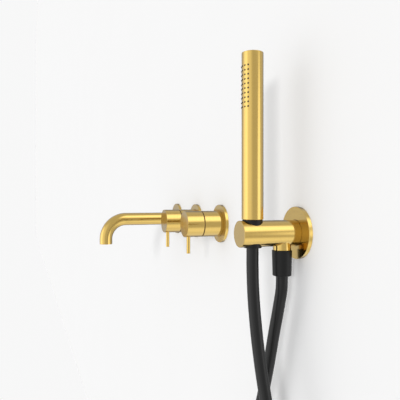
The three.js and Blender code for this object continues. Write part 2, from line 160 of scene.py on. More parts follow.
# %% [markdown]
# ## Brushed gold
# The visible brass is coated in a gold-coloured metal layer and brushed while it turns, so its fine
# lines run round every piece. Such lines spread a reflection along the piece and leave it crisp
# across, which is what the shader's anisotropy does. An image of scratches would need unwrapping;
# noise that is stretched round the axis gives the same lines at any size.

# %% Lines round the axis
LINE_WANDER = 40  # grains of noise in a metre across the axis
LINE_FADE = 60


def surface_place(graph):
    """A point's place in the piece's own frame, as a vector and as its x, y and z.

    The z of a turned piece is the axis it was turned on."""
    here = graph.node("TexCoord", output=3)
    split = graph.node("SeparateXYZ", inputs={"Vector": here}).socket.node
    return here, [Value(graph, split.outputs[i]) for i in range(3)]


def noise(graph, place, scale, detail=2.0):
    """Noise from 0 to 1, with its grain 1/scale wide."""
    return graph.node("TexNoise", inputs={"Vector": place, "Scale": scale, "Detail": detail})


def turned_lines(graph, pitch):
    """Fine lines round the axis that fade in and out along their length."""
    _, (x, y, z) = surface_place(graph)
    radius = (x * x + y * y) ** 0.5
    across = {
        "X": radius / pitch + x * LINE_WANDER,
        "Y": z / pitch + y * LINE_WANDER,
        "Z": (x - y) * LINE_FADE,
    }
    return noise(graph, graph.node("CombineXYZ", inputs=across), 1.0)


def new_material(name):
    """A new material and its empty graph."""
    material = bpy.data.materials.new(name)
    material.use_nodes = True
    return material, Graph(material.node_tree)


def bump(graph, height, depth):
    """Normals for a surface that rises by depth, in metres, where height goes from 0 to 1."""
    return graph.node("Bump", inputs={"Height": height, "Distance": depth})


def output_surface(graph, shader):
    graph.node("OutputMaterial", inputs={"Surface": shader})


print("lines are ready, with", LINE_WANDER, "grains to a metre across them")

# %% [markdown]
# The gold is one metal layer under a thin clear coat. Two tones of it are mixed by the lines, and a
# slow cloud changes how rough it is, so that no two places shine quite alike. The bent spout is
# brushed along its bend and not on a lathe, so its copy has no one direction in its shine.

# %% The gold itself
GOLD_PITCH = 0.3 * MM
GOLD_CLOUDS = 30.0
GOLD_BUMP = 0.004 * MM
GOLD_LIGHT = (0.66, 0.455, 0.105, 1)
GOLD_DEEP = (0.56, 0.36, 0.065, 1)


def brushed_gold(name, anisotropy):
    """The coating. Where a line stands proud the colour is lighter and the surface rougher."""
    material, graph = new_material(name)
    lines = turned_lines(graph, GOLD_PITCH)
    here, _ = surface_place(graph)
    cloud = noise(graph, here, GOLD_CLOUDS)
    shader = graph.node("BsdfPrincipled", inputs={
        "Base Color": graph.mix(lines, GOLD_DEEP, GOLD_LIGHT),
        "Metallic": 1.0,
        "Roughness": 0.11 + lines * 0.06 + cloud * 0.04,
        "Anisotropic": anisotropy,
        "Coat Weight": 0.9,
        "Coat Roughness": 0.12,
        "Coat IOR": 1.6,
        "Normal": bump(graph, lines, GOLD_BUMP),
    })
    output_surface(graph, shader)
    return material


gold_turned = brushed_gold("brushed_gold", 0.6)
gold_bent = brushed_gold("brushed_gold_bent", 0.0)
print("made", gold_turned.name, "and", gold_bent.name)

# %% [markdown]
# ## The other finishes
# Behind the gold there is machined brass, cast brass and steel. Round it there is black plastic,
# black rubber, grey silicone, white moulded plastic, and the bronze-filled plastic of the bearings.
# The machined metals take the same kind of lines as the gold. The others are noise of their own
# grain that feeds the colour, the roughness and a little bump. A number that is the same all over
# sits on the shader itself.

# %% Brass, steel, plastic and rubber
LATHE_PITCH = 0.25 * MM
LATHE_BUMP = 0.006 * MM
FINE_DETAIL = 4.0
BROAD_SHARE = 0.08  # how much coarser than the fine grain the broad one is


def grained(name, dark, light, grain, roughness, depth, **fixed):
    """A finish whose colour and roughness follow a fine and a broad noise. Grain is in metres."""
    material, graph = new_material(name)
    here, _ = surface_place(graph)
    fine = noise(graph, here, 1 / grain, FINE_DETAIL)
    broad = noise(graph, here, BROAD_SHARE / grain)
    low, high = roughness
    shader = graph.node("BsdfPrincipled", inputs={
        "Base Color": graph.mix(fine * 0.6 + broad * 0.4, (*dark, 1), (*light, 1)),
        "Roughness": low + (fine * 0.5 + broad * 0.5) * (high - low),
        "Normal": bump(graph, fine, depth),
        **fixed,
    })
    output_surface(graph, shader)
    return material


def machined(name, deep, light, roughness):
    """Bare metal with the marks of the lathe round its axis."""
    material, graph = new_material(name)
    lines = turned_lines(graph, LATHE_PITCH)
    shader = graph.node("BsdfPrincipled", inputs={
        "Base Color": graph.mix(lines, (*deep, 1), (*light, 1)),
        "Metallic": 1.0,
        "Roughness": roughness + lines * 0.12,
        "Anisotropic": 0.4,
        "Normal": bump(graph, lines, LATHE_BUMP),
    })
    output_surface(graph, shader)
    return material


brass_machined = machined("machined_brass", (0.66, 0.42, 0.15), (0.80, 0.56, 0.24), 0.24)
steel_machined = machined("machined_steel", (0.42, 0.42, 0.41), (0.58, 0.58, 0.57), 0.28)
brass_cast = grained("cast_brass", (0.50, 0.32, 0.12), (0.70, 0.48, 0.20), 0.5 * MM,
                     (0.38, 0.60), 0.06 * MM, Metallic=1.0)
BLACK_DEEP, BLACK_LIGHT = (0.004, 0.004, 0.004), (0.008, 0.008, 0.008)
fitting_black = grained("black_fitting", BLACK_DEEP, BLACK_LIGHT, 0.25 * MM,
                        (0.32, 0.42), 0.01 * MM, **{"Specular IOR Level": 0.22})
hose_black = grained("black_hose", BLACK_DEEP, BLACK_LIGHT, 0.3 * MM,
                     (0.26, 0.36), 0.012 * MM, **{"Specular IOR Level": 0.30})
seal_black = grained("black_rubber", (0.010, 0.010, 0.010), (0.022, 0.022, 0.022), 0.2 * MM,
                     (0.60, 0.78), 0.015 * MM)
nozzle_grey = grained("grey_silicone", (0.045, 0.042, 0.036), (0.075, 0.070, 0.060), 0.2 * MM,
                      (0.48, 0.60), 0.01 * MM)
bearing_bronze = grained("bronze_filled_bearing", (0.13, 0.07, 0.02), (0.22, 0.12, 0.04), 0.2 * MM,
                         (0.40, 0.52), 0.01 * MM)
white_moulded = grained("white_plastic", (0.72, 0.71, 0.68), (0.82, 0.81, 0.78), 0.4 * MM,
                        (0.34, 0.46), 0.01 * MM)
finishes = {
    "brushed_gold": gold_turned,
    "raw_brass": brass_machined,
    "steel": steel_machined,
    "black_plastic": fitting_black,
    "hose_cover": hose_black,
    "white_plastic": white_moulded,
    "seal_rubber": seal_black,
    "nozzle_silicone": nozzle_grey,
}
print("finishes:", ", ".join(finishes))

# %% [markdown]
# ## The hose
# A hand-shower hose is a smooth black tube of a fixed length that hangs from both of its ends. It
# could be simulated, but both ends and the crossing below the holder are known, so its route is a
# list of points on one smooth curve. A curve object would do for the tube, but the hose is a mesh
# skinned round the route.

# %% The route and its smooth curve
HOSE_STEPS = 10
hose_route = [
    (0.2400, -0.0224, -0.0502),
    (0.2390, -0.0224, -0.0660),
    (0.2335, -0.0230, -0.0880),
    (0.2245, -0.0245, -0.1220),
    (0.2150, -0.0265, -0.1620),
    (0.2030, -0.0295, -0.2080),
    (0.1840, -0.0320, -0.2600),
    (0.1610, -0.0340, -0.3140),
    (0.1400, -0.0360, -0.3700),
    (0.1280, -0.0370, -0.4210),
    (0.1330, -0.0380, -0.4680),
    (0.1600, -0.0390, -0.5080),
    (0.2030, -0.0400, -0.5340),
    (0.2520, -0.0410, -0.5410),
    (0.3000, -0.0420, -0.5300),
    (0.3390, -0.0430, -0.5010),
    (0.3600, -0.0440, -0.4590),
    (0.3590, -0.0450, -0.4120),
    (0.3400, -0.0460, -0.3640),
    (0.3130, -0.0480, -0.3120),
    (0.2880, -0.0500, -0.2600),
    (0.2700, -0.0530, -0.2120),
    (0.2575, -0.0555, -0.1700),
    (0.2500, -0.0580, -0.1320),
    (0.2445, -0.0596, -0.0960),
    (0.2410, -0.0604, -0.0640),
    (0.2400, -0.0607, -0.0380),
    (0.2400, -0.0607, -0.0160),
]


def through(points, steps):
    """Places on a centripetal Catmull-Rom curve through the points, steps to each stretch."""
    ends = [2 * points[0] - points[1], *points, 2 * points[-1] - points[-2]]
    made = []
    for p0, p1, p2, p3 in zip(ends, ends[1:], ends[2:], ends[3:]):
        t1 = (p1 - p0).length ** 0.5
        t2 = t1 + (p2 - p1).length ** 0.5
        t3 = t2 + (p3 - p2).length ** 0.5
        for i in range(steps):
            t = t1 + (t2 - t1) * i / steps
            a1 = p0.lerp(p1, t / t1)
            a2 = p1.lerp(p2, (t - t1) / (t2 - t1))
            a3 = p2.lerp(p3, (t - t2) / (t3 - t2))
            made.append(a1.lerp(a2, t / t2).lerp(a2.lerp(a3, (t - t1) / (t3 - t1)), (t - t1) / (t2 - t1)))
    return [*made, points[-1].copy()]


hose_line = through([Vector(point) for point in hose_route], HOSE_STEPS)
hose_length = sum((b - a).length for a, b in zip(hose_line, hose_line[1:]))
print("the hose is", round(hose_length, 3), "m long")

# %% [markdown]
# A tube is skinned with one ring of points at each place on its line. Each ring is turned from the
# one before by the least angle, so that the tube doesn't twist.

# %% Skin a tube round a line
def frames_along(line):
    """The direction, and two directions across it, at each place on the line."""
    directions = [(b - a).normalized() for a, b in zip(line, line[1:])]
    directions = [directions[0], *[(a + b).normalized() for a, b in zip(directions, directions[1:])],
                  directions[-1]]
    side = directions[0].orthogonal().normalized()
    made = []
    for direction in directions:
        side = (side - direction * side.dot(direction)).normalized()
        made.append((direction, side, direction.cross(side)))
    return made


def skin(rings, closed=False):
    """Vertices and faces of a skin over rings of points. A ring of one point closes the end."""
    verts, faces, starts = [], [], []
    for ring in rings:
        starts.append((len(verts), len(ring)))
        verts.extend(ring)
    pairs = list(zip(starts, starts[1:]))
    if closed:
        pairs.append((starts[-1], starts[0]))
    for (a, count_a), (b, count_b) in pairs:
        for i in range(max(count_a, count_b)):
            j = (i + 1) % max(count_a, count_b)
            face = [a + i % count_a, a + j % count_a, b + j % count_b, b + i % count_b]
            faces.append(list(dict.fromkeys(face)))
    return verts, faces


def ring_round(centre, side, other, radius, sides):
    """Points on a circle, in the plane of the directions side and other."""
    turns = [2 * math.pi * i / sides for i in range(sides)]
    return [centre + (side * math.cos(t) + other * math.sin(t)) * radius for t in turns]


def tube_rings(line, radius, sides):
    """One ring of points at each place on a line."""
    frames = frames_along(line)
    return [ring_round(p, s, o, radius, sides) for p, (_, s, o) in zip(line, frames)]


def new_piece(name, verts, faces, place=None):
    """An object from vertices and faces, its faces turned outwards."""
    mesh = bpy.data.meshes.new(name)
    mesh.from_pydata([tuple(v) for v in verts], [], faces)
    work = bmesh.new()
    work.from_mesh(mesh)
    bmesh.ops.recalc_face_normals(work, faces=work.faces)
    work.to_mesh(mesh)
    work.free()
    piece = bpy.data.objects.new(name, mesh)
    bpy.context.scene.collection.objects.link(piece)
    if place is not None:
        piece.matrix_world = place
    return piece


print("the hose's line has", len(frames_along(hose_line)), "places for a ring")

# %% [markdown]
# Every piece ends the same way: smooth shading that breaks at its hard edges, normals that follow
# the largest faces so that flat faces stay flat beside a rounded edge, a finish, and the body that
# it moves with.

# %% Finish a piece
slot_of = {part["node"]: part["material_slot"] for part in frame["record"]["subparts"]}
body_of = {node: body for body, nodes in frame["record"]["behaviour"]["bodies"].items()
           for node in nodes}
HARD_EDGE = math.radians(38)
AREA_WEIGHT = 80


def shade(piece):
    """Smooth shading with hard edges, and normals weighted by the faces' areas."""
    piece.data.polygons.foreach_set("use_smooth", [True] * len(piece.data.polygons))
    piece.data.set_sharp_from_angle(angle=HARD_EDGE)
    even = piece.modifiers.new("even_normals", "WEIGHTED_NORMAL")
    even.keep_sharp = True
    even.weight = AREA_WEIGHT


def finished(piece, node, material=None):
    """The piece stands for a node of the frame: it takes that node's body and its slot's finish."""
    shade(piece)
    piece.data.materials.clear()
    piece.data.materials.append(material or finishes[slot_of[node]])
    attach(piece, body_of[node])
    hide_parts(node)
    return piece


print(len(slot_of), "nodes have a slot, and", len(body_of), "have a body")

# %% [markdown]
# The hose is skinned round its smooth curve and closed at both ends. One end stays on the wall and
# the other lifts with the handset. The mesh takes the hose's black finish and stands in for the
# frame's hose.

# %% The hose's mesh
HOSE_RADIUS = 7 * MM
HOSE_SIDES = 28
hose_rings = tube_rings(hose_line, HOSE_RADIUS, HOSE_SIDES)
hose = new_piece("shower_hose", *skin([[hose_line[0]], *hose_rings, [hose_line[-1]]]))
shade(hose)
hose.data.materials.append(hose_black)
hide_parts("hose")
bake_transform(hose)
print("hose mesh:", len(hose.data.vertices), "vertices")

# %% [markdown]
# ## Turned pieces
# Most of the set is turned on a lathe: flanges, sleeves, nuts, nipples and seals. The frame holds
# each one as a spun outline in a few flat facets. Measuring every one again would invite slips, so
# this step reads the outline back from the facets that lie on one meridian, eases its corners as a
# tool would, and spins it again in fine steps.

# %% Read a turned piece's outline
OUT = Matrix(((1, 0, 0), (0, 0, -1), (0, 1, 0)))  # local z points out of the wall
UP = Matrix.Identity(3)
ON_AXIS = 0.01 * MM
SAME_TURN = 0.002
EASE_STEPS = 4
EASE_MOST = 0.45  # of the shorter side at a corner
STRAIGHT = math.radians(3)
NO_LENGTH = 1e-7


def middle_of(node):
    low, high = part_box(node)
    return (low + high) / 2


def place_of(centre, axes):
    return Matrix.Translation(centre) @ axes.to_4x4()


def centre_on_axis(node, axes):
    """Where a turned node's axis meets the wall, or, if it is upright, the level z = 0."""
    middle = middle_of(node)
    return Vector((middle.x, 0, middle.z)) if axes is OUT else Vector((middle.x, middle.y, 0))


def outline_of(node, axes):
    """The outline of a turned node, as (radius, height) pairs along its axis, in order."""
    back = place_of(centre_on_axis(node, axes), axes).inverted()
    mesh = frame["nodes"][node].data
    points = [back @ v.co for v in mesh.vertices]
    flat = [(math.hypot(p.x, p.y), p.z, math.atan2(p.y, p.x)) for p in points]
    widest = max(flat)
    on_line = {i for i, (radius, _, turn) in enumerate(flat)
               if radius < ON_AXIS or abs(math.remainder(turn - widest[2], 2 * math.pi)) < SAME_TURN}
    named = {i: (round(flat[i][0], 6), round(flat[i][1], 6)) for i in on_line}
    links = {}
    for polygon in mesh.polygons:
        for a, b in polygon.edge_keys:
            if a in named and b in named and named[a] != named[b]:
                links.setdefault(named[a], set()).add(named[b])
                links.setdefault(named[b], set()).add(named[a])
    ends = [point for point, near in links.items() if len(near) == 1 and point[0] == 0]
    start = min(ends) if ends else min(links)
    outline, last = [start], None
    while True:
        ahead = [point for point in links[outline[-1]] if point != last and point != start]
        if not ahead or len(outline) > len(links):
            return outline
        last = outline[-1]
        outline.append(sorted(ahead)[0])


def eased(outline, radius):
    """The outline with every corner off the axis rounded, as far as its sides allow."""
    made = []
    closed = outline[0][0] > 0 or outline[-1][0] > 0
    count = len(outline)
    for i, point in enumerate(outline):
        corner = Vector(point)
        if point[0] == 0 or (not closed and i in (0, count - 1)):
            made.append(corner)
            continue
        to_last = Vector(outline[i - 1]) - corner
        to_next = Vector(outline[(i + 1) % count]) - corner
        if min(to_last.length, to_next.length) < NO_LENGTH:
            continue
        turn = math.pi - to_last.angle(to_next)
        if turn < STRAIGHT:
            made.append(corner)
            continue
        most = EASE_MOST * min(to_last.length, to_next.length)
        cut = min(radius * math.tan(turn / 2), most)
        first = corner + to_last.normalized() * cut
        final = corner + to_next.normalized() * cut
        for k in range(EASE_STEPS + 1):
            t = k / EASE_STEPS
            made.append(first.lerp(corner, t).lerp(corner.lerp(final, t), t))
    return made


print("the spout's flange has", len(outline_of("spout_flange", OUT)), "points in its outline")

# %% [markdown]
# A pipe thread is a ridge wound round the axis. Where an outline runs along a threaded length, its
# points are set close together and each one is moved in or out by where it lies on the ridge.

# %% Spin an outline
THREAD_RADIUS = 9.9 * MM
THREAD_PITCH = 1.814 * MM
THREAD_DEPTH = 0.50 * MM
THREAD_LEAST = 5 * MM
POINTS_A_TURN = 6
SAME = 0.02 * MM
NO_RADIUS = 1e-9


def with_thread(outline):
    """The outline as (radius, height, height along its thread, thread length) rows."""
    rows = []
    for a, b in zip(outline, [*outline[1:], outline[0]]):
        rows.append((a.x, a.y, 0, 0))
        length = abs(b.y - a.y)
        on_thread = abs(a.x - THREAD_RADIUS) < SAME and abs(b.x - THREAD_RADIUS) < SAME
        if on_thread and length > THREAD_LEAST:
            count = int(length / THREAD_PITCH * POINTS_A_TURN)
            rows.extend((a.x, a.y + (b.y - a.y) * k / count, length * k / count, length)
                        for k in range(1, count))
    return rows


def thread_ridge(height, along, length, turn):
    """How far the ridge stands out at a point, fading at both ends of the thread."""
    wave = (height / THREAD_PITCH + turn / (2 * math.pi)) % 1
    ridge = (1 - abs(2 * wave - 1)) * 2 - 1
    fade = min(1, along / THREAD_PITCH, (length - along) / THREAD_PITCH)
    return ridge * THREAD_DEPTH * fade


def spun(outline, sides, threaded=False):
    """Vertices and faces of an outline spun round the local z."""
    closed = all(point[0] > NO_RADIUS for point in outline)
    rows = [(p[0], p[1], 0, 0) for p in outline]
    if threaded:
        rows = with_thread([Vector(p) for p in outline])
    rings = []
    for radius, height, along, length in rows:
        if radius < NO_RADIUS:
            rings.append([Vector((0, 0, height))])
            continue
        ring = []
        for i in range(sides):
            turn = 2 * math.pi * i / sides
            out = radius + (thread_ridge(height, along, length, turn) if length else 0)
            ring.append(Vector((out * math.cos(turn), out * math.sin(turn), height)))
        rings.append(ring)
    return skin(rings, closed)


WIDE_RADIUS, MIDDLE_RADIUS = 18 * MM, 8 * MM
WIDE_SIDES, MIDDLE_SIDES, SMALL_SIDES = 128, 96, 48


def sides_for(radius):
    """How many sides make a circle of this radius look round."""
    if radius > WIDE_RADIUS:
        return WIDE_SIDES
    return MIDDLE_SIDES if radius > MIDDLE_RADIUS else SMALL_SIDES


print("a thread's ridge stands", THREAD_DEPTH / MM, "mm out")

# %% [markdown]
# A turned piece is now one row of a list: its node, the way its axis points, and how far its corners
# are eased. Gold edges are eased enough to catch the light, seals are round all over, and the other
# edges are only broken.

# %% Turn every plain piece again
def turned_again(node, axes, ease, material=None, threaded=False):
    """A fine copy of a turned node, standing for it."""
    outline = outline_of(node, axes)
    widest = max(radius for radius, _ in outline)
    verts, faces = spun(eased(outline, ease), sides_for(widest), threaded)
    piece = new_piece("fine_" + node, verts, faces, place_of(centre_on_axis(node, axes), axes))
    return finished(piece, node, material)


EASE_GOLD = 0.4 * MM
EASE_SEAL = 3 * MM
EASE_FINE = 0.25 * MM
EASE_NUT = 1.3 * MM
valves = ("diverter", "mixer")
hose_ends = ("outlet", "handset")
turned_pieces = [
    *[(name + "_flange", OUT, EASE_GOLD) for name in ("spout", *valves, "holder")],
    *[(name + "_flange_gasket", OUT, EASE_SEAL) for name in ("spout", *valves, "holder")],
    *[(name + "_sleeve", OUT, EASE_FINE) for name in valves],
    *[(name + "_sleeve_o_ring", OUT, EASE_SEAL) for name in valves],
    *[(name + "_cartridge", OUT, EASE_FINE) for name in valves],
    *[(name + "_cartridge_nut", OUT, EASE_FINE) for name in valves],
    *[(name + "_spindle", OUT, EASE_FINE) for name in valves],
    *[(name + "_adapter", OUT, EASE_FINE) for name in valves],
    *[(name + "_lever_pin", UP, EASE_GOLD) for name in valves],
    *[("spout_o_ring_" + number, OUT, EASE_SEAL) for number in "12"],
    ("spout_grub_screw", UP, EASE_FINE),
    ("aerator_housing", UP, EASE_FINE),
    ("aerator_washer", UP, EASE_SEAL),
    ("check_valve", OUT, EASE_FINE),
    *[(name + "_hose_ferrule", UP, EASE_FINE) for name in hose_ends],
    *[(name + "_hose_washer", UP, EASE_SEAL) for name in hose_ends],
    ("outlet_hose_nut", UP, EASE_NUT),
    ("handset_hose_nut", UP, EASE_GOLD),
    ("handset_end_cap", UP, EASE_GOLD),
]
threaded_pieces = [
    ("spout_nipple", OUT),
    ("holder_nipple", OUT),
    ("outlet_nipple", UP),
    ("handset_connector", UP),
]
for node, axes, ease in turned_pieces:
    turned_again(node, axes, ease)
for node, axes in threaded_pieces:
    turned_again(node, axes, EASE_FINE, threaded=True)
for name in valves:
    turned_again(name + "_slide_ring", OUT, EASE_FINE, bearing_bronze)
print("turned again:", len(turned_pieces) + len(threaded_pieces) + len(valves), "pieces")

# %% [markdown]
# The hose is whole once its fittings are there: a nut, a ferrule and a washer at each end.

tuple(hose_line[0])

# %% [markdown]
# ## Pieces with holes across them
# A handle is a cup with a hole drilled up into it for its lever pin, and the holder is a bar with a
# conical hole down through it. A boolean cuts such holes exactly. Its two solids are spun as finely
# as the rest, so the cut's edge is a smooth curve.

# %% Cut and join
PAST = 1 * MM  # how far a cutting tool reaches past the face it cuts


def solid(outline, sides, place):
    """A spun solid to cut or join with."""
    return new_piece("tool", *spun([Vector(p) for p in outline], sides), place)


def combined(piece, tools, operation):
    """The piece with the tools cut from it or joined to it. The tools are used up."""
    together = bpy.data.collections.new("tools")
    for tool in tools:
        together.objects.link(tool)
    step = piece.modifiers.new(operation, "BOOLEAN")
    step.operation = operation
    step.operand_type = "COLLECTION"
    step.collection = together
    step.solver = "EXACT"
    bpy.context.view_layer.update()
    graph = bpy.context.evaluated_depsgraph_get()
    mesh = bpy.data.meshes.new_from_object(piece.evaluated_get(graph))
    piece.modifiers.clear()
    piece.data = mesh
    bpy.data.collections.remove(together)
    for tool in tools:
        bpy.data.objects.remove(tool)
    return piece


def rod(radius, low, high):
    """The outline of a plain solid cylinder."""
    return [(0, low), (radius, low), (radius, high), (0, high)]


def tube(inner, outer, low, high):
    """The outline of a plain ring or tube."""
    return [(inner, low), (outer, low), (outer, high), (inner, high)]


print("cutting tools reach", PAST / MM, "mm past a face")

# %% [markdown]
# A handle is turned as a cup that fits over its adapter, and a stepped hole goes up into it from
# below for the lever pin. The frame gives its outer sizes. Its walls and holes aren't in the frame's
# record, so they are named here.

# %% Handles
PIN_HOLE = 3.3 * MM
PIN_THREAD_HOLE = 2.3 * MM
PIN_SEAT = 5.0 * MM
HANDLE_WALL = 2.4 * MM
HANDLE_HUB = 15 * MM
HANDLE_FRONT = 4 * MM
ADAPTER_HOLE = 8.3 * MM
for name in valves:
    node = name + "_handle"
    low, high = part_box(node)
    radius, back, front = (high.x - low.x) / 2, -high.y, -low.y
    hub, bore_end = front - HANDLE_HUB, front - HANDLE_FRONT
    cup = [(0, front), (radius, front), (radius, back), (radius - HANDLE_WALL, back),
           (radius - HANDLE_WALL, hub), (ADAPTER_HOLE, hub), (ADAPTER_HOLE, bore_end), (0, bore_end)]
    place = place_of(Vector((middle_of(node).x, 0, 0)), OUT)
    handle = new_piece("fine_" + node, *spun(eased(cup, EASE_GOLD), WIDE_SIDES), place)
    pin = middle_of(name + "_lever_pin")
    seat = PIN_SEAT - radius
    drill = [(0, -radius - PAST), (PIN_HOLE, -radius - PAST), (PIN_HOLE, seat),
             (PIN_THREAD_HOLE, seat), (PIN_THREAD_HOLE, -ADAPTER_HOLE / 2), (0, -ADAPTER_HOLE / 2)]
    at_pin = place_of(Vector((pin.x, pin.y, 0)), UP)
    combined(handle, [solid(drill, SMALL_SIDES, at_pin)], "DIFFERENCE")
    finished(handle, node)
    print(node, len(handle.data.vertices), "vertices")

# %% [markdown]
# The holder is a solid bar. Water comes in at the wall, runs along a channel and leaves by a pocket
# underneath, where the hose's outlet is fixed. The handset's seat is a cone that is wider at the
# top, so that the hose's tapered nut drops in and is held by its own weight.

# %% Holder
CHANNEL = 5 * MM
CHANNEL_LENGTH = 30 * MM
INLET = 10.2 * MM
INLET_DEPTH = 9.5 * MM
OUTLET_POCKET = 10.9 * MM
SEAT_MIDDLE = 11.375 * MM
SEAT_TAPER = 1.35 / 30.6  # radius gained, in the holder's height
CLEARANCE = 0.3 * MM
EASE_BAR = 0.5 * MM
low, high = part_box("holder_body")
holder_x = middle_of("holder_body").x
holder_radius = (high.x - low.x) / 2
seat_y = middle_of("handset_hose_nut").y
outlet_y = middle_of("outlet_hose_nut").y
reach = holder_radius + 2 * PAST
seat_hole = [(0, -reach), (SEAT_MIDDLE - SEAT_TAPER * reach, -reach),
             (SEAT_MIDDLE + SEAT_TAPER * reach, reach), (0, reach)]
pocket_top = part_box("outlet_nipple")[1].z + CLEARANCE
pocket = [(0, -reach), (OUTLET_POCKET, -reach), (OUTLET_POCKET, pocket_top),
          (CHANNEL, pocket_top), (CHANNEL, 0), (0, 0)]
bar = eased(rod(holder_radius, -high.y, -low.y), EASE_BAR)
at_wall = place_of(Vector((holder_x, 0, 0)), OUT)
holder = new_piece("fine_holder_body", *spun(bar, WIDE_SIDES), at_wall)
inlet = [(0, -PAST), (INLET, -PAST), (INLET, INLET_DEPTH), (CHANNEL, INLET_DEPTH),
         (CHANNEL, CHANNEL_LENGTH), (0, CHANNEL_LENGTH)]
combined(holder, [
    solid(seat_hole, WIDE_SIDES, place_of(Vector((holder_x, seat_y, 0)), UP)),
    solid(pocket, MIDDLE_SIDES, place_of(Vector((holder_x, outlet_y, 0)), UP)),
    solid(inlet, MIDDLE_SIDES, at_wall),
], "DIFFERENCE")
finished(holder, "holder_body")
print("holder", len(holder.data.vertices), "vertices")

# %% [markdown]
# ## The spout
# A length of tube is bent to a quarter circle and faced off square at its tip. It is skinned like
# the hose, but its rings go out along the outside, round a small lip, and back along the inside, so
# the tube has its real wall.

# %% Spout tube
SPOUT_BEND = 40 * MM
SPOUT_WALL = 1.5 * MM
LIP = 0.35 * MM
LIP_STEPS = 4
STRAIGHT_STATIONS = 6
BEND_STEPS = 40
GRUB_HOLE = 2.3 * MM
low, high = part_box("spout_tube")
spout_x = middle_of("spout_tube").x
spout_radius = (high.x - low.x) / 2
spout_reach = -low.y - spout_radius
spout_tip = low.z
bend_start = spout_reach - SPOUT_BEND
spout_line = [Vector((spout_x, -out, 0))
              for out in np.linspace(-high.y, bend_start, STRAIGHT_STATIONS)]
for turn in np.linspace(0, math.pi / 2, BEND_STEPS + 1)[1:]:
    out = bend_start + SPOUT_BEND * math.sin(turn)
    spout_line.append(Vector((spout_x, -out, -SPOUT_BEND * (1 - math.cos(turn)))))
spout_line.append(Vector((spout_x, -spout_reach, spout_tip)))


def walled_tube(line, outer, wall, lip, sides):
    """An open tube with a real wall and an eased lip at each end."""
    frames = frames_along(line)

    def end_rings(index, sign):
        """Rings over one end's lip, from the outside in."""
        direction, side, other = frames[index]
        steps = [math.pi / 2 * k / LIP_STEPS for k in range(LIP_STEPS + 1)]
        outside = [(outer - lip + lip * math.cos(t), lip - lip * math.sin(t)) for t in steps]
        inside = [(outer - wall + lip - lip * math.sin(t), lip - lip * math.cos(t)) for t in steps]
        return [ring_round(line[index] + direction * sign * back, side, other, radius, sides)
                for radius, back in outside + inside]

    middle = [(line[i], frames[i]) for i in range(1, len(line) - 1)]
    out = [ring_round(p, s, o, outer, sides) for p, (_, s, o) in middle]
    back = [ring_round(p, s, o, outer - wall, sides) for p, (_, s, o) in reversed(middle)]
    return skin([*out, *end_rings(-1, -1), *back, *reversed(end_rings(0, 1))], closed=True)


spout = new_piece("fine_spout_tube",
                  *walled_tube(spout_line, spout_radius, SPOUT_WALL, LIP, MIDDLE_SIDES))
screw = middle_of("spout_grub_screw")
grub = rod(GRUB_HOLE, -spout_radius - PAST, -spout_radius / 2)
at_screw = place_of(Vector((screw.x, screw.y, 0)), UP)
combined(spout, [solid(grub, SMALL_SIDES, at_screw)], "DIFFERENCE")
finished(spout, "spout_tube", gold_bent)
print("spout", len(spout.data.vertices), "vertices")

# %% [markdown]
# Inside the tip sits an aerator: a moulded disc with a honeycomb that mixes air into the water. It
# faces straight down and is seen from below. A pattern of dark spots would be flat there, so each
# cell is a real hole with six sides.

# %% Aerator
CELL = 2.3 * MM
CELL_HOLE = 0.46 * CELL
CELL_TO_EDGE = 0.62 * CELL
CELL_SIDES = 6
CELLS_EACH_WAY = range(-4, 5)
low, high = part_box("aerator_insert")
disc_radius = (high.x - low.x) / 2
disc_place = place_of(centre_on_axis("aerator_insert", UP), UP)
disc_outline = eased(rod(disc_radius, low.z, high.z), EASE_FINE)
disc = new_piece("fine_aerator_insert", *spun(disc_outline, MIDDLE_SIDES), disc_place)
cell = rod(CELL_HOLE, low.z - PAST, high.z + PAST)
holes = []
for row in CELLS_EACH_WAY:
    for column in CELLS_EACH_WAY:
        place = Vector((CELL * (column + 0.5 * (row % 2)), CELL * row * math.sqrt(0.75), 0))
        if place.length < disc_radius - CELL_TO_EDGE:
            holes.append(solid(cell, CELL_SIDES, disc_place @ Matrix.Translation(place)))
combined(disc, holes, "DIFFERENCE")
finished(disc, "aerator_insert")
print("aerator with", len(holes), "cells")

# %% [markdown]
# ## The hand shower
# The handset is one straight tube. A silicone strip lies behind its wall and pokes one soft nozzle
# through each small hole, in ten rows of five, so that lime can be rubbed off.

# %% Where the nozzles are
NOZZLE_ROWS = 10
NOZZLE_COLUMNS = 5
NOZZLE_PITCH = 5.2 * MM
NOZZLE_ANGLE = math.radians(20.3)
NOZZLE_INSET = 16.1 * MM
NOZZLE_RADIUS = 0.8 * MM
NOZZLE_STAND_OUT = 0.7 * MM
HANDSET_WALL = 2 * MM
low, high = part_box("handset_tube")
handset_radius = (high.x - low.x) / 2
handset_x, handset_y = middle_of("handset_tube").xy
handset_low, handset_high = low.z, high.z
at_handset = place_of(Vector((handset_x, handset_y, 0)), UP)
rows_z = [handset_high - NOZZLE_INSET - NOZZLE_PITCH * row for row in range(NOZZLE_ROWS)]


def nozzle_places():
    """The place of each nozzle, with its local z pointing out of the handset."""
    for height in rows_z:
        for column in range(NOZZLE_COLUMNS):
            turn = -math.pi / 2 + (column - (NOZZLE_COLUMNS - 1) / 2) * NOZZLE_ANGLE
            outwards = Vector((math.cos(turn), math.sin(turn), 0))
            turned = outwards.to_track_quat("Z", "Y").to_matrix()
            yield place_of(Vector((handset_x, handset_y, height)), turned)


print(len(list(nozzle_places())), "nozzles")

# %% [markdown]
# The tube's wall is drilled once for each nozzle. Rings of points between the rows keep each cut in
# a short band of its own, because faces as long as the tube would shade unevenly round the holes.

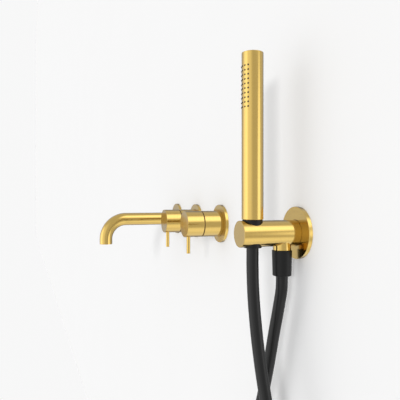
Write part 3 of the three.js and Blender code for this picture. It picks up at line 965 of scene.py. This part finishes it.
# %% Handset tube
NOZZLE_HOLE = 1.1 * MM
HOLE_SIDES = 20
inner = handset_radius - HANDSET_WALL
rows_between = [z + NOZZLE_PITCH / 2 for z in reversed(rows_z)] + [rows_z[0] + NOZZLE_PITCH]
ends = eased(tube(inner, handset_radius, handset_low, handset_high), EASE_GOLD)
rising = [i for i in range(len(ends)) if ends[i].x > inner + MM and ends[i].y < handset_low + MM]
last_low = max(rising)
between = [Vector((handset_radius, z)) for z in rows_between]
stick = [*ends[:last_low + 1], *between, *ends[last_low + 1:]]
handset = new_piece("fine_handset_tube", *spun(stick, WIDE_SIDES), at_handset)
drill = rod(NOZZLE_HOLE, inner - 2 * PAST, handset_radius + PAST)
drills = [solid(drill, HOLE_SIDES, place) for place in nozzle_places()]
combined(handset, drills, "DIFFERENCE")
finished(handset, "handset_tube")
print("handset tube", len(handset.data.vertices), "vertices")

# %% [markdown]
# The strip is an arc of rubber just inside the wall. A nozzle is a small round stem that narrows at
# its tip, so that it slips through its hole, and is hollow there. All fifty are joined to the strip.

# %% Nozzle strip
STRIP_DEPTH = 2.0 * MM
STRIP_MARGIN = 4 * MM
STRIP_SPARE = 0.2  # of the angle between two columns
STRIP_TURNS, STRIP_STATIONS = 25, 12
NOZZLE_ROOT = 0.5 * MM
NOZZLE_TAPER = 0.5 * MM
NOZZLE_HOLLOW = 0.8 * MM
strip_outer, strip_inner = inner - CLEARANCE, inner - STRIP_DEPTH
half_angle = NOZZLE_ANGLE * (NOZZLE_COLUMNS / 2 + STRIP_SPARE)
strip_low, strip_high = rows_z[-1] - STRIP_MARGIN, rows_z[0] + STRIP_MARGIN
turns = np.linspace(-math.pi / 2 - half_angle, -math.pi / 2 + half_angle, STRIP_TURNS)


def arc(radius, angles, height):
    return [Vector((radius * math.cos(t), radius * math.sin(t), height)) for t in angles]


def strip_ring(height):
    """The strip's section at a height: out along its outer arc and back along its inner one."""
    return arc(strip_outer, turns, height) + arc(strip_inner, reversed(turns), height)


stations = [strip_ring(z) for z in np.linspace(strip_low, strip_high, STRIP_STATIONS)]
verts, faces = skin(stations)
count = len(stations[0])
faces += [list(range(count)), [len(verts) - 1 - i for i in range(count)]]
strip = new_piece("fine_nozzle_strip", verts, faces, at_handset)
tip = handset_radius + NOZZLE_STAND_OUT
root = strip_outer - NOZZLE_ROOT
mouth, bore = 0.6 * NOZZLE_RADIUS, 0.3 * NOZZLE_RADIUS
nozzle = [(0, root), (NOZZLE_RADIUS, root), (NOZZLE_RADIUS, tip - NOZZLE_TAPER), (mouth, tip),
          (bore, tip), (bore, tip - NOZZLE_HOLLOW), (0, tip - NOZZLE_HOLLOW)]
combined(strip, [solid(nozzle, 16, place) for place in nozzle_places()], "UNION")
finished(strip, "nozzle_strip")
print("nozzle strip", len(strip.data.vertices), "vertices")

# %% [markdown]
# A thin tube leads the water up behind the nozzles. A window in the side that faces them, as long
# as their rows, lets the water out. It is hidden, but it is there when the handset is taken apart.

# %% Water tube
WATER_WALL = 1.5 * MM
low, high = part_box("handset_water_tube")
water_radius = (high.x - low.x) / 2
water_outline = eased(tube(water_radius - WATER_WALL, water_radius, low.z, high.z), EASE_FINE)
water = new_piece("fine_handset_water_tube", *spun(water_outline, MIDDLE_SIDES), at_handset)
window_low, window_high = rows_z[-1], rows_z[0]
half = (water_radius - WATER_WALL) / 2
beyond = -2 * water_radius
corners = [(-half, beyond), (half, beyond), (half, 0), (-half, 0)]
box_rings = [[Vector((x, y, z)) for x, y in corners] for z in (window_low, window_high)]
verts, faces = skin(box_rings)
window = new_piece("tool", verts, [*faces, [0, 1, 2, 3], [7, 6, 5, 4]], water.matrix_world.copy())
combined(water, [window], "DIFFERENCE")
finished(water, "handset_water_tube")
print("water tube", len(water.data.vertices), "vertices")

# %% [markdown]
# ## The valve bodies
# Behind the wall, where a plumber joins the pipes, each valve has a cast brass body with three
# threaded ports. Its castings are joined with a boolean, and the bores are cut through afterwards.

# %% Valve bodies
NECK_RADIUS = 17.5 * MM
BODY_FRONT = -12 * MM
PORT_COLLAR = 13 * MM
PORT_THREAD_LENGTH = 14 * MM
PORT_BORE = 6.5 * MM
PORT_Y = 38 * MM
CARTRIDGE_HOLE = 13.8 * MM
CHAMBER = 9 * MM
BORE_SIDES = 64
EASE_CAST = 1.2 * MM
EASE_PORT = 0.5 * MM
LEFT = Matrix.Rotation(-math.pi / 2, 3, "Y")
RIGHT = Matrix.Rotation(math.pi / 2, 3, "Y")
for name in valves:
    node = name + "_valve_body"
    low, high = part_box(node)
    x = middle_of(name + "_handle").x
    body_radius = -low.z
    port_end = high.z
    collar_end = port_end - PORT_THREAD_LENGTH
    shell = [(0, -high.y), (body_radius, -high.y), (body_radius, BODY_FRONT), (NECK_RADIUS, BODY_FRONT),
             (NECK_RADIUS, -low.y), (0, -low.y)]
    at_axis = place_of(Vector((x, 0, 0)), OUT)
    body = new_piece("fine_" + node, *spun(eased(shell, EASE_CAST), WIDE_SIDES), at_axis)
    port = [(0, 0), (PORT_COLLAR, 0), (PORT_COLLAR, collar_end), (THREAD_RADIUS, collar_end),
            (THREAD_RADIUS, port_end), (0, port_end)]
    ports = [place_of(Vector((x, PORT_Y, 0)), axes) for axes in (LEFT, RIGHT, UP)]
    port_skin = spun(eased(port, EASE_PORT), MIDDLE_SIDES, threaded=True)
    joined = [new_piece("tool", *port_skin, place) for place in ports]
    combined(body, joined, "UNION")
    cartridge_back = -(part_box(name + "_cartridge")[1].y + CLEARANCE)
    bores = [solid(rod(PORT_BORE, 0, port_end + PAST), BORE_SIDES, place) for place in ports]
    bores.append(solid(rod(CARTRIDGE_HOLE, cartridge_back, -low.y + PAST), MIDDLE_SIDES, at_axis))
    bores.append(solid(rod(CHAMBER, -PORT_Y - PORT_BORE, 0), BORE_SIDES, at_axis))
    combined(body, bores, "DIFFERENCE")
    finished(body, node, brass_cast)
    print(node, len(body.data.vertices), "vertices")

# %% [markdown]
# ## Wall, floor and light
# The set hangs on a pale wall. The wall is a backdrop, and from behind it lets the view
# through, so that the pieces inside the wall can be studied. It doesn't show in reflections: the
# room's light does, from every side, and draws the bright and dark bands along each cylinder. The
# floor is a round disc that fades into the plain background, so that it has no edge to be seen.

# %% Wall and floor
BACKGROUND = 0.935
FLOOR_Z = -1.0
FLOOR_RADIUS = 1.4
FLOOR_FADE_FROM, FLOOR_FADE_TO = 0.5 * FLOOR_RADIUS, 0.95 * FLOOR_RADIUS
FLOOR_SIDES = 96
FLOOR_GREY = 0.88
WALL_LEFT, WALL_RIGHT, WALL_TOP = -14.0, 5.0, 5.0
WALL_GREY = 0.69
MOTTLE_SCALE = 4.0
MOTTLE = 0.01


def pale_paint(name, grey):
    """A matt paint with the faintest mottle."""
    material, graph = new_material(name)
    here, _ = surface_place(graph)
    tone = noise(graph, here, MOTTLE_SCALE)
    light = grey + MOTTLE
    shader = graph.node("BsdfDiffuse", inputs={
        "Color": graph.mix(tone, (grey, grey, grey, 1), (light, light, light, 1))})
    return material, graph, shader


def wall_paint(name, grey):
    """Pale paint that is clear from behind."""
    material, graph, shader = pale_paint(name, grey)
    back = graph.node("NewGeometry", output=6)
    clear = graph.node("BsdfTransparent")
    output_surface(graph, graph.node("MixShader", inputs={0: back, 1: shader, 2: clear}))
    return material


def floor_paint(name, grey, near, far):
    """Pale paint that fades into the plain background between two distances from the set."""
    material, graph, shader = pale_paint(name, grey)
    _, (x, y, z) = surface_place(graph)
    away = graph.smooth((x * x + y * y) ** 0.5, near, far)
    plain = graph.node("Emission", inputs={"Color": (BACKGROUND, BACKGROUND, BACKGROUND, 1)})
    output_surface(graph, graph.node("MixShader", inputs={0: away, 1: shader, 2: plain}))
    return material


wall_corners = [(WALL_LEFT, 0, FLOOR_Z), (WALL_RIGHT, 0, FLOOR_Z),
                (WALL_RIGHT, 0, WALL_TOP), (WALL_LEFT, 0, WALL_TOP)]
wall = new_piece("wall", wall_corners, [[0, 1, 2, 3]])
if wall.data.polygons[0].normal.y > 0:
    wall.data.flip_normals()
wall.data.materials.append(wall_paint("wall_paint", WALL_GREY))
wall.visible_glossy = False
floor_middle = Vector((0, 0, FLOOR_Z))
floor_rim = ring_round(floor_middle, Vector((1, 0, 0)), Vector((0, 1, 0)), FLOOR_RADIUS, FLOOR_SIDES)
floor = new_piece("floor", floor_rim, [list(range(FLOOR_SIDES))])
floor.data.materials.append(floor_paint("floor_paint", FLOOR_GREY, FLOOR_FADE_FROM, FLOOR_FADE_TO))
floor.visible_glossy = False
floor.visible_diffuse = False
print("wall and floor are up")

# %% [markdown]
# One lamp stands for a large soft light far to the right of the set: its parallel rays leave the
# same light all along the wall, and its width in the sky makes the shadows soft. It is left out of
# reflections, where it would draw a small hard spot.

# %% Lamp
LAMP_FROM = Vector((0.752, -0.638, 0.166))
LAMP_STRENGTH = 1.30
LAMP_WIDTH = math.radians(12)
lamp_data = bpy.data.lights.new("lamp", "SUN")
lamp_data.angle = LAMP_WIDTH
lamp_data.energy = LAMP_STRENGTH
lamp = bpy.data.objects.new("lamp", lamp_data)
lamp.rotation_euler = LAMP_FROM.to_track_quat("Z", "Y").to_euler()
lamp.visible_glossy = False
bpy.context.scene.collection.objects.link(lamp)
print("the lamp shines from", [round(c, 2) for c in LAMP_FROM])

# %% [markdown]
# The rest of the room is a sky of plain grey with soft boxes in it, each a direction and a width.
# Image-based light would need a file; a few smooth steps on the direction's cosine do the same. A
# box with a gain below 0 is a dark panel, which takes light away. None of this is seen directly:
# behind the set the view meets one plain background.

# %% The room's light
world = bpy.data.worlds.new("studio")
world.use_nodes = True
bpy.context.scene.world = world
studio = Graph(world.node_tree)
split = studio.node("SeparateXYZ", inputs={"Vector": studio.node("TexCoord", output=0)}).socket.node
sky = [Value(studio, split.outputs[i]) for i in range(3)]


def soft_box(bearing, height, width, edge):
    """1 within width degrees of a direction, fading to 0 over edge degrees more.

    The bearing is in degrees from +X towards +Y, and the height in degrees above the horizon."""
    b, h = math.radians(bearing), math.radians(height)
    aim = (math.cos(b) * math.cos(h), math.sin(b) * math.cos(h), math.sin(h))
    cosine = sky[0] * aim[0] + sky[1] * aim[1] + sky[2] * aim[2]
    return studio.smooth(cosine, math.cos(math.radians(width + edge)), math.cos(math.radians(width)))


ROOM_LEVEL = 0.74
ROOM_BOXES = [
    # bearing, height, width, edge, gain
    (-108, 0, 12, 28, 0.80),
    (-72, 0, 16, 36, 0.50),
    (47, 0, 7, 16, 1.20),
    (29, 44, 9, 20, 1.45),
    (32, -47, 6, 20, 0.62),
    (100, -70, 8, 20, 0.40),
    (150, 0, 30, 26, -0.45),
]
level = ROOM_LEVEL
for bearing, height, width, edge, gain in ROOM_BOXES:
    level = soft_box(bearing, height, width, edge) * gain + level
seen = studio.node("LightPath", output=0)
glow = studio.node("Background", inputs={"Color": (1, 1, 1, 1), "Strength": level})
plain = studio.node("Background", inputs={"Color": (BACKGROUND, BACKGROUND, BACKGROUND, 1)})
both = studio.node("MixShader", inputs={0: seen, 1: glow, 2: plain})
studio.node("OutputWorld", inputs={"Surface": both})
bpy.context.scene.view_settings.view_transform = "Standard"
print("a sky of", ROOM_LEVEL, "with", len(ROOM_BOXES), "boxes")
